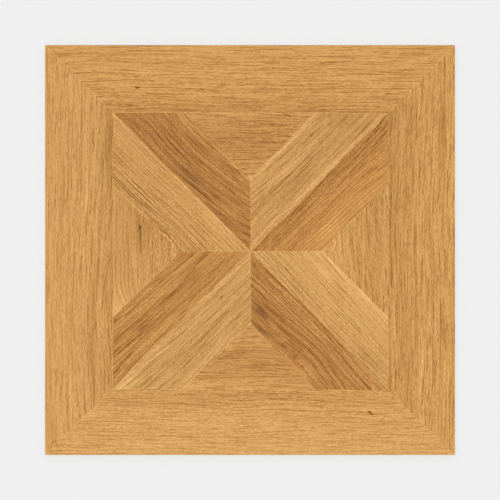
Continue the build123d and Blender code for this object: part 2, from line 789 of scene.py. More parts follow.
def parquet_boards() -> tuple[Board, ...]:
    """List the sixteen boards of the panel with their oak, grain and marks.

    Returns:
        The boards: four of the frame, four wedges and the eight that make the cross's arms.
    """
    frame_boards = (
        frame_board(
            "top", TOP,
            OakFinish((0.585, 0.286, 0.070), PLAIN_SAWN, slope=0.06, contrast=1.12, gain=0.3),
            Flow(swells=(Swell(230 * MM, 50 * MM, 180 * MM, 100 * MM, -8 * MM),)),
            mark_at(166, 62.7, 3.2, 1.3, 1.1),
            mark_at(268, 26, 3, 1.2, 0.5),
            mark_at(0, 96, 400, 12, 0.10, straight=True),
            mark_at(0, 96.5, 300, 1.4, 0.12, straight=True),
            mark_at(-31, 83, 18, 4, 0.15),
            mark_at(169, 43, 22, 3, -0.16),
            mark_at(-100, 36, 30, 4, -0.15),
            mark_at(-20, 62.5, 60, 2.5, -0.12),
        ),
        frame_board(
            "left", LEFT,
            OakFinish((0.601, 0.303, 0.080), PLAIN_SAWN, slope=0.06, contrast=1.02, gain=0.25),
            Flow(swells=(Swell(90 * MM, 75 * MM, 125 * MM, 55 * MM, -10 * MM),)),
            mark_at(0, 96, 400, 12, 0.10, straight=True),
            mark_at(0, 98.4, 300, 1.6, 0.10, straight=True),
            mark_at(-110, 30, 90, 12, 0.06),
            mark_at(-160, 93, 60, 5, 0.25, straight=True),
            mark_at(-84, 61, 35, 3.5, -0.08),
            mark_at(164, 70, 40, 4, 0.22),
            mark_at(228, 40, 42, 4.5, -0.24),
        ),
        frame_board(
            "bottom", BOTTOM,
            OakFinish((0.642, 0.330, 0.090), FINE_GRAINED, slope=0.06, contrast=0.98, gain=0.3),
            Flow(swells=(Swell(190 * MM, 75 * MM, 75 * MM, 45 * MM, -6 * MM),)),
            mark_at(175.8, 65.5, 1.8, 1.3, 1.1, straight=True),
            mark_at(179, 62.5, 1.8, 1.3, 1.3, straight=True),
            mark_at(0, 88, 400, 16, 0.10, straight=True),
            mark_at(-157, 11.5, 26, 4, -0.13),
            mark_at(-72, 97, 14, 4, 0.15, straight=True),
        ),
        frame_board(
            "right", RIGHT,
            OakFinish((0.578, 0.284, 0.070), PLAIN_SAWN, slope=0.06, contrast=1.19),
            Flow(-0.7, swells=(Swell(40 * MM, 60 * MM, 110 * MM, 70 * MM, 6 * MM),)),
            mark_at(169, 57, 5, 1.2, 0.6),
            mark_at(0, 80, 400, 16, 0.05, straight=True),
            mark_at(0, 96, 300, 5, 0.12, straight=True),
            mark_at(98, 44, 40, 5, 0.05),
            mark_at(-164, 47, 45, 9, -0.10),
            mark_at(174, 18, 60, 5, 0.22),
            mark_at(-120, 17, 25, 4, 0.24),
            mark_at(-110, 92, 60, 5, -0.18, straight=True),
            mark_at(190, 93, 40, 6, 0.14, straight=True),
            mark_at(115, 68, 60, 8, 0.12),
            mark_at(-140, 48.5, 150, 4, -0.13),
            mark_at(-205, 12.5, 30, 4, -0.18),
            mark_at(35, 47, 16, 4, -0.15),
            mark_at(-235, 47, 25, 4, -0.14),
            mark_at(-122, 27, 26, 3.5, -0.15),
            mark_at(125, 96, 30, 3, 0.12, straight=True),
            mark_at(-63, 96, 20, 3, -0.12, straight=True),
            mark_at(160, 63.5, 25, 3.5, 0.14),
        ),
    )
    wedges = (
        wedge_board(
            "top", TOP,
            OakFinish((0.511, 0.236, 0.053), SHORT_GRAINED, contrast=1.37),
            Flow(),
            mark_at(-56, 3, 6, 1.2, 0.6),
            mark_at(0, 42, 80, 14, 0.12),
            mark_at(0, 100, 30, 14, -0.14),
            mark_at(42, 47, 12, 4, 0.18),
            mark_at(-2, 28, 25, 3.5, -0.14),
            mark_at(0, 2, 110, 2, -0.12, straight=True),
        ),
        wedge_board(
            "left", LEFT,
            OakFinish((0.569, 0.279, 0.071), QUIET, contrast=1.19, gain=0.9),
            Flow(bend=6.0, bend_at=38 * MM),
            mark_at(-36.8, 39.6, 3.4, 1.5, 1.35),
            mark_at(-23, 40.6, 9, 1.6, 0.75),
            mark_at(-7, 41.6, 8, 1.7, 0.42),
            mark_at(62, 7, 46, 0.9, 0.30),
            mark_at(56, 12.5, 46, 0.9, 0.28),
            mark_at(52, 18, 42, 0.9, 0.28),
            mark_at(48, 23, 38, 0.9, 0.26),
            mark_at(44, 29, 36, 0.9, 0.24),
            mark_at(-47, 40, 14, 6, 0.22),
            mark_at(-14, 44, 42, 12, 0.20),
            mark_at(-36, 58, 26, 5, 0.12),
            mark_at(25, 29, 32, 4, -0.19),
            mark_at(-64, 34, 12, 5, 0.16),
            mark_at(-17, 36, 14, 3.5, 0.16),
            mark_at(0, 96, 16, 6, 0.14),
            mark_at(85, 12, 40, 16, -0.25, straight=True),
            mark_at(0, 2, 110, 3, -0.11, straight=True),
        ),
        wedge_board(
            "bottom", BOTTOM,
            OakFinish((0.560, 0.270, 0.066), SHORT_GRAINED, contrast=1.15),
            Flow(swells=(Swell(5 * MM, 60 * MM, 55 * MM, 40 * MM, 6 * MM),)),
            mark_at(0, 44, 80, 18, 0.10),
            mark_at(-80, 6, 30, 14, -0.10),
            mark_at(-36, 49, 20, 3.5, 0.20),
            mark_at(-2, 58.5, 40, 4, 0.20),
            mark_at(0, 5, 110, 6, -0.06, straight=True),
        ),
        wedge_board(
            "right", RIGHT,
            OakFinish((0.575, 0.283, 0.070), SHORT_GRAINED, slope=-0.14, contrast=1.31),
            Flow(3.0),
            mark_at(-56, 32, 9, 1.4, 0.5),
            mark_at(21, 28, 18, 3.5, 0.20),
            mark_at(-5, 45, 40, 5, 0.14),
            mark_at(5, 76, 20, 8, -0.08),
            mark_at(-78, 6, 22, 5, -0.15),
            mark_at(0, 4, 110, 4, -0.08, straight=True),
        ),
    )
    arms = (
        right_arm(
            "top_left_upper", TOP_LEFT,
            OakFinish((0.408, 0.168, 0.031), STREAKY, slope=-0.08, contrast=1.04),
            Flow(-2.5, bend=0.8, bend_at=-60 * MM),
            mark_at(-78, 3.5, 18, 3, 0.17, straight=True),
            mark_at(100, 22, 14, 4, 0.18),
            mark_at(-8, 62, 18, 4, -0.17),
            mark_at(82, 48, 14, 8, -0.14),
            mark_at(-60, 61, 30, 5.5, -0.12),
            mark_at(52, 18, 14, 3.5, 0.18),
            mark_at(60, 22, 26, 4, -0.12),
            mark_at(-12, 13, 22, 5, 0.22, grey=True),
            mark_at(18, 16, 20, 4.5, 0.24, grey=True),
            mark_at(55, 23, 25, 4.5, 0.16, grey=True),
            mark_at(95, 9, 35, 2.5, 0.18),
            mark_at(92, 14, 16, 4, -0.18),
            mark_at(0, 68.3, 90, 1.7, -0.38, straight=True),
        ),
        left_arm(
            "top_left_lower", TOP_LEFT,
            OakFinish((0.560, 0.277, 0.069), STRAIGHT, slope=0.17, contrast=0.99, gain=0.6),
            Flow(0.6, swells=(Swell(-41 * MM, 60 * MM, 14 * MM, 16 * MM, -3 * MM),)),
            mark_at(14, 59, 6, 1.2, 0.5),
            mark_at(45, 63.5, 32, 1.0, 0.30),
            mark_at(-10, 66, 60, 1.1, 0.28),
            mark_at(20, 60, 70, 1.0, 0.22),
            mark_at(0, 63, 80, 1.0, -0.10),
            mark_at(40, 54, 60, 1.0, 0.20),
            mark_at(-20, 50, 60, 0.9, 0.16),
            mark_at(-85, 6, 45, 6, -0.13),
            mark_at(64, 61, 16, 3, 0.16),
            mark_at(100, 31, 20, 3, 0.14),
            mark_at(0, 1, 160, 1.3, -0.17, straight=True),
        ),
        left_arm(
            "top_right_upper", TOP_RIGHT,
            OakFinish((0.546, 0.273, 0.069), SOFT_GRAINED, contrast=0.86),
            Flow(3.0, fan=-2.1),
            mark_at(42, 53, 4, 1.6, 0.7),
            mark_at(19, 35.5, 14, 1.2, 0.35),
            mark_at(-12, 27, 12, 1.2, 0.35),
            mark_at(-55, 36, 30, 1.0, 0.25),
            mark_at(93, 37, 8, 1.8, 0.35),
            mark_at(60, 9.5, 45, 1.0, 0.24, straight=True),
            mark_at(0, 67.8, 90, 2.4, -0.20, straight=True),
            mark_at(0, 36, 120, 10, 0.05, straight=True),
            mark_at(-10, 43, 85, 4, -0.20),
            mark_at(-10, 4, 130, 3.6, -0.20, straight=True),
            mark_at(105, 8, 25, 3.5, 0.22),
            mark_at(-78, 5, 20, 3, -0.14),
        ),
        right_arm(
            "top_right_lower", TOP_RIGHT,
            OakFinish((0.501, 0.217, 0.044), STRAIGHT, slope=-0.22, contrast=1.07, gain=-0.6),
            Flow(2.6, fan=-1.9),
            mark_at(0, 3.2, 160, 2.6, 0.16, straight=True),
            mark_at(-20, 3, 14, 2.2, 0.22, straight=True),
            mark_at(-60, 9, 40, 1.4, 0.20),
            mark_at(40, 54, 32, 10, -0.22),
            mark_at(0, 66, 90, 5, -0.07, straight=True),
            mark_at(-115, 12, 28, 10, 0.05, straight=True),
            mark_at(-90, 20, 22, 3.5, 0.14),
        ),
        left_arm(
            "bottom_left_lower", BOTTOM_LEFT,
            OakFinish((0.579, 0.298, 0.079), SOFT_GRAINED, contrast=0.86),
            Flow(-6.0, fan=2.6),
            mark_at(-65.6, 16.3, 3.5, 1.6, 0.6),
            mark_at(-42, 34.5, 14, 1.4, 0.35),
            mark_at(-8, 38, 18, 1.4, 0.30),
            mark_at(100, 27, 18, 1.6, 0.35),
            mark_at(0, 67.5, 90, 3.0, -0.14, straight=True),
            mark_at(0, 3.5, 160, 3.0, -0.09, straight=True),
            mark_at(0, 46, 120, 10, 0.10, straight=True),
            mark_at(-35, 48, 25, 5, -0.20),
            mark_at(120, 10, 24, 5, -0.20),
            mark_at(42, 28.5, 34, 4, 0.18),
            mark_at(52, 12.5, 34, 3.5, -0.20),
            mark_at(0, 6, 30, 3, 0.18),
        ),
        right_arm(
            "bottom_left_upper", BOTTOM_LEFT,
            OakFinish((0.488, 0.215, 0.044), STREAKY, contrast=0.94),
            Flow(2.2, fan=-1.9),
            mark_at(-92, 43.5, 9, 1.6, 0.50),
            mark_at(-103, 34.5, 14, 1.4, 0.45),
            mark_at(-45, 34.8, 20, 1.1, 0.40),
            mark_at(9, 37, 22, 1.1, 0.35),
            mark_at(54, 38.8, 12, 1.6, 0.40),
            mark_at(84, 42, 14, 2.0, 0.35),
            mark_at(77, 56, 5, 2.0, 0.50),
            mark_at(0, 1.2, 150, 1.2, -0.12, straight=True),
            mark_at(0, 8.5, 130, 2.8, -0.14, straight=True),
            mark_at(-110, 50, 16, 6, -0.25),
            mark_at(0, 67, 90, 3.5, 0.06, straight=True),
            mark_at(0, 34, 120, 14, 0.08, straight=True),
            mark_at(18, 45.5, 36, 4, -0.22),
            mark_at(-46, 62, 22, 4, -0.20),
            mark_at(66, 64, 14, 5, 0.20),
            mark_at(-102, 9, 20, 4, -0.18),
            mark_at(72, 12, 20, 3.5, -0.15),
            mark_at(55, 30.5, 60, 5, 0.08),
            mark_at(-42, 9, 40, 3.5, -0.16),
        ),
        left_arm(
            "bottom_right_upper", BOTTOM_RIGHT,
            OakFinish((0.624, 0.326, 0.089), STRAIGHT, slope=-0.16, contrast=0.78, gain=-0.5),
            Flow(0.3, fan=-1.3),
            mark_at(0, 69.5, 90, 1.4, -0.12, straight=True),
            mark_at(0, 66, 90, 4, -0.08, straight=True),
            mark_at(0, 6, 160, 1.5, 0.06, straight=True),
            mark_at(95, 13, 26, 5, 0.15),
            mark_at(-42, 53, 22, 4, -0.13),
        ),
        right_arm(
            "bottom_right_lower", BOTTOM_RIGHT,
            OakFinish((0.432, 0.180, 0.035), STREAKY, slope=0.08, contrast=0.98, gain=-0.6),
            Flow(swells=(Swell(-25 * MM, 36 * MM, 80 * MM, 24 * MM, -9 * MM),)),
            mark_at(71, 50, 15, 5.5, 0.55, straight=True, grey=True),
            mark_at(85, 42, 16, 4, 0.25, straight=True, grey=True),
            mark_at(53, 66, 14, 3.5, 0.55, straight=True, grey=True),
            mark_at(45, 50, 16, 2, -0.22, straight=True),
            mark_at(30, 42, 26, 1.8, 0.16),
            mark_at(-38, 61.5, 24, 5, -0.30),
            mark_at(12, 59, 4, 2.2, 0.40),
            mark_at(-13, 59.5, 4, 2.2, 0.40),
            mark_at(-31, 61.5, 5, 2.2, 0.35),
            mark_at(-16, 29, 26, 1.4, 0.30),
            mark_at(-38, 39, 26, 1.6, 0.35),
            mark_at(54, 36, 18, 3, 0.28),
            mark_at(20, 34.5, 18, 3, 0.18),
            mark_at(69, 27, 16, 4, 0.15),
            mark_at(-68, 44, 22, 3.5, -0.22),
            mark_at(14, 57, 18, 6, -0.17),
            mark_at(-14, 43, 12, 3, -0.18),
            mark_at(0, 16, 24, 4, -0.18),
            mark_at(-30, 68.3, 60, 1.7, -0.32, straight=True),
        ),
    )
    return frame_boards + wedges + arms


Spot = tuple[float, float]


@dataclass(frozen=True)
class JointPlan:
    """Where the printed joints meet, with the small errors of a panel that is laid by hand.

    Attributes:
        centre: Where the eight boards of the arms meet.
        corners: Inner corners of the frame, by direction.
        tips: Points of the wedges, by direction.
        bases: Both ends of each wedge's long edge, by direction.
    """

    centre: Spot
    corners: dict[float, Spot]
    tips: dict[float, Spot]
    bases: dict[float, tuple[Spot, Spot]]

    def edges(self, board: Board, half: float) -> tuple[np.ndarray, np.ndarray]:
        """Give the corner points of a board's long edge and of its short edge, along its heading.

        Args:
            board: The board.
            half: Half the side of the printed face.

        Returns:
            The points of the long edge and of the short edge, each n by 2.
        """
        before = (board.quarter - EIGHTH_TURN) % FULL_TURN
        after = (board.quarter + EIGHTH_TURN) % FULL_TURN
        if board.shape is BoardShape.FRAME:
            angles = np.radians([before, after])
            outer = half * math.sqrt(2.0) * np.column_stack([np.cos(angles), np.sin(angles)])
            inner = [self.corners[before], *self.bases[board.quarter], self.corners[after]]
            return outer, np.array(inner)
        if board.shape is BoardShape.WEDGE:
            return np.array(self.bases[board.quarter]), np.array([self.tips[board.quarter]] * 2)
        diagonal = [self.centre, self.corners[board.quarter]]
        if board.heading == board.quarter:
            return np.array(diagonal), np.array([self.tips[after], self.bases[after][0]])
        return np.array(diagonal[::-1]), np.array([self.bases[before][1], self.tips[before]])


JOINT_PLAN = JointPlan(
    centre=(1.0 * MM, -1.9 * MM),
    corners={
        TOP_LEFT: (-200.7 * MM, 201.0 * MM),
        TOP_RIGHT: (202.1 * MM, 199.5 * MM),
        BOTTOM_LEFT: (-200.7 * MM, -202.6 * MM),
        BOTTOM_RIGHT: (201.7 * MM, -204.8 * MM),
    },
    tips={
        TOP: (0.3 * MM, 104.7 * MM),
        LEFT: (-101.1 * MM, -1.8 * MM),
        BOTTOM: (1.5 * MM, -108.1 * MM),
        RIGHT: (104.7 * MM, -1.5 * MM),
    },
    bases={
        TOP: ((94.8 * MM, 200.7 * MM), (-96.4 * MM, 201.0 * MM)),
        LEFT: ((-200.7 * MM, 93.9 * MM), (-200.7 * MM, -98.1 * MM)),
        BOTTOM: ((-100.3 * MM, -204.3 * MM), (95.2 * MM, -204.8 * MM)),
        RIGHT: ((202.1 * MM, -98.3 * MM), (202.1 * MM, 94.8 * MM)),
    },
)


@dataclass(frozen=True)
class OakPrint:
    """The printed face of a board: ink figure over a matt glaze.

    Attributes:
        roughness: Roughness of the matt glaze.
        roughness_swing: How much rougher the dark lines are.
        specular: How strongly the matt glaze mirrors, where 0.5 is plain glass.
        bump: Depth of the finest grain, which is too fine for the mesh.
        joint_width: Width of the light hairline along a board's edge.
        joint_ink: Ink density of that hairline.
        arris_depth: Height of the arris.
        arris_ink: Density added at the foot of the arris, which darkens the tile's edge to a dark line.
    """

    roughness: float = 0.52
    roughness_swing: float = 0.12
    specular: float = 0.25
    bump: float = 0.05 * MM
    joint_width: float = 0.9 * MM
    joint_ink: float = -0.14
    arris_depth: float = 0.6 * MM
    arris_ink: float = 0.6

    def material(self, board: Board, face: "PrintedFace", effects: OakEffects) -> bpy.types.Material:
        """Make a board's material from the shared effects and the board's own values.

        Args:
            board: The board that is printed.
            face: The printed face that it lies on.
            effects: The shared node groups.

        Returns:
            The material.
        """
        material = bpy.data.materials.new(f"oak_{board.name}")
        material.use_nodes = True
        tree = material.node_tree
        sheet = NodeSheet(tree)
        shader = tree.nodes["Principled BSDF"]
        finish = board.finish

        grain = sheet.node("ShaderNodeUVMap", uv_map=GRAIN_MAP).outputs["UV"]
        strengths = {name.capitalize(): strength for name, strength in asdict(finish.cut).items()}
        strengths["Ring_Pitch"] = strengths.pop("Ring_pitch")
        figure = sheet.placed(effects.figure, Grain=grain, **strengths).outputs
        laid = sheet.node("ShaderNodeUVMap", uv_map=LAID_MAP).outputs["UV"]
        across = sheet.node("ShaderNodeSeparateXYZ")
        sheet.feed(across.inputs["Vector"], laid)
        width = face.width(board.shape)
        beside = sheet.maths("SUBTRACT", across.outputs["Y"], width / 2)
        growth = finish.contrast * finish.gain / width
        contrast = sheet.maths("MULTIPLY_ADD", beside, growth, finish.contrast)
        density = sheet.maths("MULTIPLY", figure["Density"], contrast)
        density = sheet.maths("MULTIPLY_ADD", beside, finish.slope / width, density)

        stain = 0.0
        streaked = sheet.maths("ADD", figure["Line"], 1.0)
        for mark in board.marks:
            centre = np.array([[mark.along, mark.across]])
            if not mark.straight:
                centre = face.grain_place(board, centre[:, 0], centre[:, 1])
            spot = sheet.placed(
                effects.mark,
                Grain=laid if mark.straight else grain,
                Place=(*centre[0].tolist(), 0.0),
                Size=(mark.length, mark.width, 1.0),
            ).outputs["Mask"]
            broken = sheet.maths("MULTIPLY", spot, streaked)
            if mark.grey:
                stain = sheet.maths("MULTIPLY_ADD", broken, mark.density, stain)
            else:
                density = sheet.maths("MULTIPLY_ADD", broken, mark.density, density)

        joint = sheet.node("ShaderNodeAttribute", attribute_name=JOINT_LAYER).outputs["Fac"]
        open_board = sheet.ramp(joint, 0.0, self.joint_width)
        hairline = sheet.maths("SUBTRACT", 1.0, open_board)
        density = sheet.maths("MULTIPLY_ADD", hairline, self.joint_ink, density)
        # The arris is darker towards its foot, which gives a dark line along the tile's edge
        down = sheet.ramp(joint, 0.0, -self.arris_depth)
        density = sheet.maths("MULTIPLY_ADD", down, self.arris_ink, density)

        inked = sheet.placed(effects.ink, Colour=(*finish.tone, 1.0), Density=density, Stain=stain)
        sheet.feed(shader.inputs["Base Color"], inked.outputs["Colour"])
        shader.inputs["Specular IOR Level"].default_value = self.specular
        rough = sheet.maths("MULTIPLY_ADD", figure["Height"], -self.roughness_swing, self.roughness)
        sheet.feed(shader.inputs["Roughness"], rough)
        bump = sheet.node("ShaderNodeBump")
        bump.inputs["Distance"].default_value = self.bump
        sheet.feed(bump.inputs["Height"], figure["Height"])
        sheet.feed(shader.inputs["Normal"], bump.outputs["Normal"])
        return material


@dataclass(frozen=True)
class BakeLayout:
    """Where the parts of the tile lie in the bake map, which is one unit square.

    Attributes:
        face: Side of the square that the printed face takes.
        gap: Space left between two parts.
        strip: Height of the strip that each side takes above the face.
    """

    face: float = 0.88
    gap: float = 0.006
    strip: float = 0.022

    def on_face(self, points: np.ndarray, half: float) -> np.ndarray:
        """Lay points of the face out in its square, seen from above."""
        share = (points[:, :2] + half) / (2 * half)
        return self.gap + share * self.face

    def on_strip(self, number: int, along: np.ndarray, up: np.ndarray) -> np.ndarray:
        """Lay points of a side out in its strip, from shares along it and up its profile."""
        base = 2 * self.gap + self.face + number * (self.strip + self.gap)
        return np.stack([self.gap + along * self.face, base + up * self.strip], axis=1)

    def on_back(self, points: np.ndarray, half: float) -> np.ndarray:
        """Lay points of the back out in the narrow field beside the face.

        Args:
            points: Points of the back.
            half: Half the side of the area that is laid out.

        Returns:
            Places in the bake map.
        """
        share = (points[:, :2] + half) / (2 * half)
        left = 2 * self.gap + self.face
        width = 1.0 - self.gap - left
        return np.stack([left + share[:, 0] * width, self.gap + share[:, 1] * self.face], axis=1)


@dataclass(frozen=True)
class PrintedFace:
    """The printed face: sixteen boards on a grid of square modules, with pressed grain.

    Attributes:
        half: Half the side of the face inside the arris.
        arris: Legs of the arris, which the print runs over.
        level: Height of the face.
        module: Width of a frame board, a sixth of the tile's side.
        plan: Where the joints between the boards meet.
        row_pitch: Distance between mesh rows, across the grain.
        step: Distance between mesh points, along the grain.
        relief_depth: Depth of the pressed grain below the face.
        groove_length: Length of a pressed groove.
        groove_width: Width of a pressed groove.
        groove_start: Height of the relief's noise at which a groove starts.
        groove_full: Height at which it has its depth.
        groove_seed: Number that the relief's noise is drawn from.
        joint_fade: Distance from a joint over which the relief comes up to its depth.
        clear: Smallest distance from a row's last point to the row's end, in steps.
        field: Length and width of the piece of oak that each board is cut from.
    """

    half: float
    arris: float
    level: float
    module: float
    plan: JointPlan
    row_pitch: float = 0.8 * MM
    step: float = 6.0 * MM
    relief_depth: float = 0.06 * MM
    groove_length: float = 60 * MM
    groove_width: float = 3.4 * MM
    groove_start: float = 0.35
    groove_full: float = 0.85
    groove_seed: int = 7
    joint_fade: float = 4.0 * MM
    clear: float = 0.4
    field: Cell = Cell(830 * MM, 137 * MM)

    def half_length(self, shape: BoardShape) -> float:
        """Half the long edge of a board.

        Args:
            shape: Shape of the board.

        Returns:
            Half the length.
        """
        lengths = {
            BoardShape.FRAME: self.half,
            BoardShape.WEDGE: self.module,
            BoardShape.ARM: self.module * math.sqrt(2.0),
        }
        return lengths[shape]

    def width(self, shape: BoardShape) -> float:
        """Distance from the long edge of a board to its short edge, or to its point.

        Args:
            shape: Shape of the board.

        Returns:
            The width.
        """
        widths = {
            BoardShape.FRAME: self.half - 2 * self.module,
            BoardShape.WEDGE: self.module,
            BoardShape.ARM: self.module / math.sqrt(2.0),
        }
        return widths[shape]

    def row_count(self, shape: BoardShape) -> int:
        """Number of mesh rows across a board."""
        return round(self.width(shape) / self.row_pitch)

    def even(self, low: float, high: float) -> np.ndarray:
        """Places from low to high, about a step apart."""
        return np.linspace(low, high, round((high - low) / self.step) + 1)

    def inner_edge(self) -> np.ndarray:
        """Mesh points of a frame board's inner edge: the ends of two arms and a wedge's base.

        Returns:
            Places along the edge, in order.
        """
        arm_end = np.linspace(self.module, 2 * self.module, self.row_count(BoardShape.ARM) + 1)
        base = self.even(-self.module, self.module)
        return np.concatenate([-arm_end[:0:-1], base, arm_end[1:]])

    def offsets(self, shape: BoardShape) -> np.ndarray:
        """Places of the mesh rows across a board, from the foot of the arris on a frame board."""
        even = np.linspace(0.0, self.width(shape), self.row_count(shape) + 1)
        return np.concatenate([[-self.arris], even]) if shape is BoardShape.FRAME else even

    def rows(self, shape: BoardShape) -> list[np.ndarray]:
        """Mesh points of a board, row by row from its long edge to its short one.

        A row at v across the board reaches half_length - v to both sides, because the ends are cut
        at 45 degrees. Rows inside the board use whole steps from the middle. A row on the edge of
        the board uses the points of the board next to it. A frame board starts with the arris.

        Args:
            shape: The board's outline.

        Returns:
            For each row, the rising places of its points along the board.
        """
        half_length = self.half_length(shape)
        last_step = math.ceil(half_length / self.step)
        places = np.arange(-last_step, last_step + 1) * self.step
        clear = self.clear * self.step
        rows = []
        for offset in self.offsets(shape):
            reach = half_length - offset
            inside = places[np.abs(places) < reach - clear]
            rows.append(np.concatenate([[-reach], inside, [reach]]))
        edge = self.even(-half_length, half_length)
        rows[0] = edge
        if shape is BoardShape.FRAME:
            rows[0] = edge * (half_length + self.arris) / half_length
            rows[1] = edge
        short = half_length - self.width(shape)
        last_rows = {
            BoardShape.FRAME: self.inner_edge(),
            BoardShape.WEDGE: np.zeros(1),
            BoardShape.ARM: np.linspace(-short, short, self.row_count(BoardShape.WEDGE) + 1),
        }
        rows[-1] = last_rows[shape]
        return rows

    def grain_place(self, board: Board, along: np.ndarray, across: np.ndarray) -> np.ndarray:
        """Place of points along and across the grain, each board in a field of its own.

        Args:
            board: The board that the points lie on.
            along: Places along its long edge.
            across: Places across it.

        Returns:
            The places, n by 2.
        """
        heading_weight = 3
        number = (board.quarter + heading_weight * board.heading) // EIGHTH_TURN
        line = board.flow.line(along, across)
        return np.stack([along + number * self.field.length, line + number * self.field.width], axis=1)

    def relief(self, grain: np.ndarray, edge: np.ndarray) -> np.ndarray:
        """Depth of the pressed grain: the dark peaks of a stretched noise, faded out at the joints.

        Args:
            grain: Places along and across the grain.
            edge: Distance of each point from a joint.

        Returns:
            How far each point lies below the face.
        """
        along, across = grain[:, 0] / self.groove_length, grain[:, 1] / self.groove_width
        noise = lattice_noise(along, across, self.groove_seed)
        groove = smooth_step(self.groove_start, self.groove_full, noise)
        return self.relief_depth * groove * smooth_step(0.0, self.joint_fade, edge)

    def laid_out(self, board: Board, along: np.ndarray, across: np.ndarray) -> np.ndarray:
        """Place points of a board on the panel, as the plan of the joints has it.

        A point lies on the straight line from the board's long edge to its short edge that starts
        and ends at the point's share along its row, and at its share of the board's width. A point
        of the arris lies as far outside the face as it is away from the long edge.

        Args:
            board: The board that the points lie on.
            along: Places along its long edge.
            across: Places across it.

        Returns:
            The places seen from above, n by 2.
        """
        tiny = 1e-9
        reach = np.maximum(self.half_length(board.shape) - across, tiny)
        share = (along / reach + 1.0) / 2.0
        rise = np.maximum(across / self.width(board.shape), 0.0)[:, None]
        outward = 1.0 - np.minimum(across, 0.0)[:, None] / self.half
        wedge_share = np.array([0.0, 0.25, 0.75, 1.0])

        def edge(corners: np.ndarray) -> np.ndarray:
            """Points at the shares along an edge of one or three straight runs."""
            stops = wedge_share if len(corners) == len(wedge_share) else wedge_share[[0, -1]]
            return np.column_stack([np.interp(share, stops, corners[:, axis]) for axis in range(2)])

        long_edge, short_edge = self.plan.edges(board, self.half)
        return (edge(long_edge) * (1.0 - rise) + edge(short_edge) * rise) * outward

    def patch(self, board: Board, slot: int, bake: BakeLayout) -> Patch:
        """Build the surface of a board.

        Args:
            board: The board.
            slot: Number of its material slot.
            bake: Layout of the bake map.

        Returns:
            The board's surface.
        """
        rows = self.rows(board.shape)
        counts = np.array([len(row) for row in rows])
        starts = np.concatenate([[0], np.cumsum(counts)[:-1]])
        width = self.width(board.shape)
        half_length = self.half_length(board.shape)
        along = np.concatenate(rows)
        across = np.repeat(self.offsets(board.shape), counts)
        faces = np.concatenate([
            stitch(rows[i], rows[i + 1], starts[i], starts[i + 1]) for i in range(len(rows) - 1)
        ])
        to_ends = (half_length - across - np.abs(along)) / math.sqrt(2.0)
        pointed = board.shape is BoardShape.WEDGE
        short_edge = np.full_like(across, width) if pointed else width - across
        inner = np.minimum(to_ends, short_edge)
        edge = np.clip(np.minimum(inner, across), 0.0, None)
        joint = np.where(across > 0.0, inner, across) if board.shape is BoardShape.FRAME else edge
        grain = self.grain_place(board, along, across)

        height = self.level - self.relief(grain, edge) + np.minimum(across, 0.0)
        points = np.column_stack([self.laid_out(board, along, across), height])
        laid = np.column_stack([along, across])
        return Patch(points, faces, slot, grain, laid, bake.on_face(points, self.half), joint)


